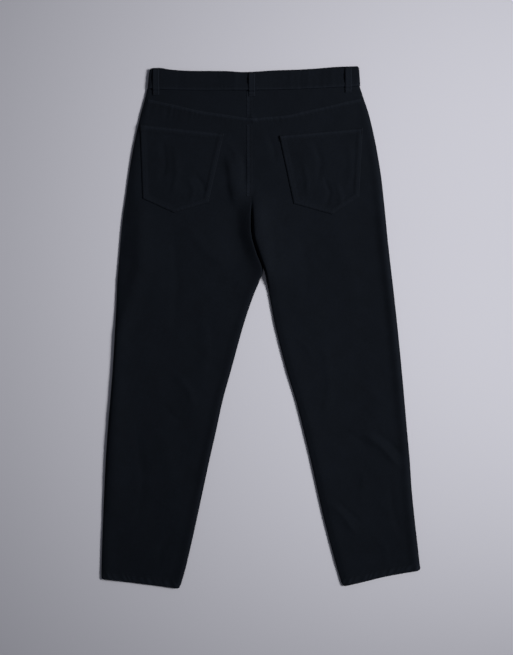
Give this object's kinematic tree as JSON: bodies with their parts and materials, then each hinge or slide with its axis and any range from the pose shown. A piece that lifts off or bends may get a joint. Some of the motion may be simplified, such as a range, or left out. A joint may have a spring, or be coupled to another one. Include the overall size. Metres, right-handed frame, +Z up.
{
  "type": "tapered jeans laid flat",
  "caption": "Black tapered five-pocket jeans laid flat and face down, with back yokes, patch pockets and belt loops.",
  "frame": {"origin": "middle of the bounding box, on the ground that the jeans lie on", "axes": "+Y towards the waist, +X towards the viewer's right from above, +Z up out of the seat"},
  "size_m": [0.6371, 1.0425, 0.0121],
  "materials": {
    "black_denim": "matte twill",
    "dark_metal": "satin"
  },
  "bodies": {
    "root": {"front_panel_left": "black_denim", "front_panel_right": "black_denim", "fly_shield": "black_denim", "back_panel_left": "black_denim", "back_panel_right": "black_denim", "yoke_left": "black_denim", "yoke_right": "black_denim", "waistband": "black_denim", "waist_button": "dark_metal", "back_pocket_left": "black_denim", "back_pocket_right": "black_denim", "belt_loop_left": "black_denim", "belt_loop_back": "black_denim", "belt_loop_right": "black_denim"}
  },
  "joints": []
}
